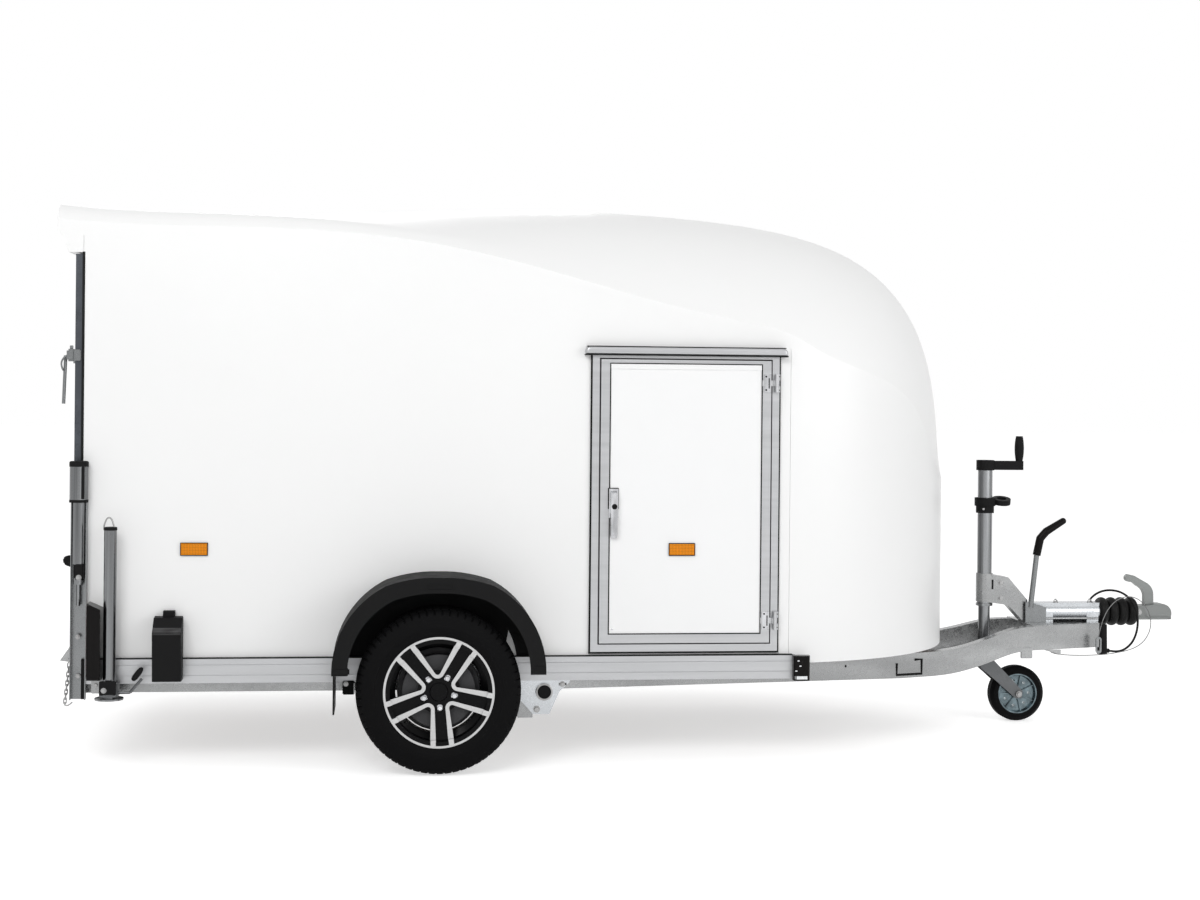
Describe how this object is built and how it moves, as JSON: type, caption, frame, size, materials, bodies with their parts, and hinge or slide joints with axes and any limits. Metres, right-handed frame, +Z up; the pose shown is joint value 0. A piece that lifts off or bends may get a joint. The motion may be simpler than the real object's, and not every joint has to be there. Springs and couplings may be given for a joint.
{
  "type": "box trailer",
  "caption": "White moulded box trailer, single braked axle, side door, full-height rear ramp, V drawbar and jockey wheel.",
  "frame": {"origin": "on the ground under the middle of the trailer's overall length and width", "axes": "+X towards the coupling, +Y to the trailer's left, +Z up"},
  "size_m": [4.442, 2.032, 2.0739],
  "materials": {
    "moulded_white": "glossy white gel coat",
    "panel_white": "smooth white laminate",
    "floor_ply": "brown phenolic anti-slip plywood",
    "aluminium_profile": "natural satin extrusion",
    "galvanised_steel": "hot-dip galvanised",
    "zinc_plated": "bright zinc plated",
    "polished_sleeve": "polished",
    "cast_drum": "dark cast, satin",
    "alloy_black": "gloss black with machined bright faces",
    "tyre_rubber": "black tyre",
    "soft_rubber": "matt black rubber",
    "black_plastic": "grained black plastic",
    "red_lens": "red lens",
    "amber_lens": "amber prismatic lens"
  },
  "bodies": {
    "trailer": {"bellows": "soft_rubber", "brake_grip": "black_plastic", "brake_lever": "zinc_plated", "breakaway_cable": "zinc_plated", "carabiner": "zinc_plated", "chassis_beams": "galvanised_steel", "coupling": "zinc_plated", "coupling_handle": "zinc_plated", "cross_members": "galvanised_steel", "drip_rail": "aluminium_profile", "floor": "floor_ply", "jockey_bracket": "galvanised_steel", "jockey_collar": "black_plastic", "jockey_crank": "black_plastic", "jockey_tube": "zinc_plated", "lamp_housings": "black_plastic", "lamp_lenses": "red_lens", "leg_clamps": "galvanised_steel", "marker_lamps": "black_plastic", "mud_flaps": "soft_rubber", "mudguards": "black_plastic", "nose_shell": "moulded_white", "overrun_housing": "galvanised_steel", "pivot_brackets": "galvanised_steel", "plug": "black_plastic", "plug_cable": "soft_rubber", "ramp_hinges": "galvanised_steel", "ramp_springs": "polished_sleeve", "rear_hood": "moulded_white", "rear_portal": "galvanised_steel", "rear_posts": "aluminium_profile", "roof_shell": "moulded_white", "side_door_frame": "aluminium_profile", "side_reflectors": "amber_lens", "side_wall_left": "moulded_white", "side_wall_right": "moulded_white", "sill_rails": "aluminium_profile", "trailing_arms": "galvanised_steel", "wheel_chocks": "black_plastic"},
    "wheel_left": {"tyre_left": "tyre_rubber", "rim_left": "alloy_black", "drum_left": "cast_drum"},
    "wheel_right": {"tyre_right": "tyre_rubber", "rim_right": "alloy_black", "drum_right": "cast_drum"},
    "side_door": {"side_door_leaf": "aluminium_profile", "side_door_panel": "panel_white", "side_door_handle": "polished_sleeve", "door_reflector": "amber_lens"},
    "ramp": {"ramp_frame": "galvanised_steel", "ramp_panel": "panel_white", "ramp_latches": "zinc_plated"},
    "leg_left": {"leg_left": "zinc_plated"},
    "leg_right": {"leg_right": "zinc_plated"},
    "jockey_slider": {"jockey_inner_tube": "zinc_plated"},
    "jockey_caster": {"jockey_fork": "galvanised_steel"},
    "jockey_roller": {"jockey_tyre": "tyre_rubber", "jockey_rim": "zinc_plated"}
  },
  "joints": [
    {"name": "wheel_left_spin", "type": "hinge", "parent": "trailer", "child": "wheel_left", "pos_m": [-0.871, 0.91, 0.292], "axis": [0, 1, 0], "continuous": true},
    {"name": "wheel_right_spin", "type": "hinge", "parent": "trailer", "child": "wheel_right", "pos_m": [-0.871, -0.91, 0.292], "axis": [0, 1, 0], "continuous": true},
    {"name": "side_door_swing", "type": "hinge", "parent": "trailer", "child": "side_door", "pos_m": [0.36, -0.806, 0.95], "axis": [0, 0, 1], "range_deg": [0, 165]},
    {"name": "ramp_fold", "type": "hinge", "parent": "trailer", "child": "ramp", "pos_m": [-2.144, 0, 0.345], "axis": [0, -1, 0], "range_deg": [0, 100]},
    {"name": "leg_left_slide", "type": "slide", "parent": "trailer", "child": "leg_left", "axis": [0, 0, -1], "range_m": [0, 0.24]},
    {"name": "leg_right_slide", "type": "slide", "parent": "trailer", "child": "leg_right", "axis": [0, 0, -1], "range_m": [0, 0.24]},
    {"name": "jockey_lift", "type": "slide", "parent": "trailer", "child": "jockey_slider", "axis": [0, 0, 1], "range_m": [-0.17, 0.05]},
    {"name": "jockey_swivel", "type": "hinge", "parent": "jockey_slider", "child": "jockey_caster", "pos_m": [1.415, 0, 0.25], "axis": [0, 0, 1], "continuous": true},
    {"name": "jockey_spin", "type": "hinge", "parent": "jockey_caster", "child": "jockey_roller", "pos_m": [1.552, 0, 0.114], "axis": [0, 1, 0], "continuous": true}
  ]
}
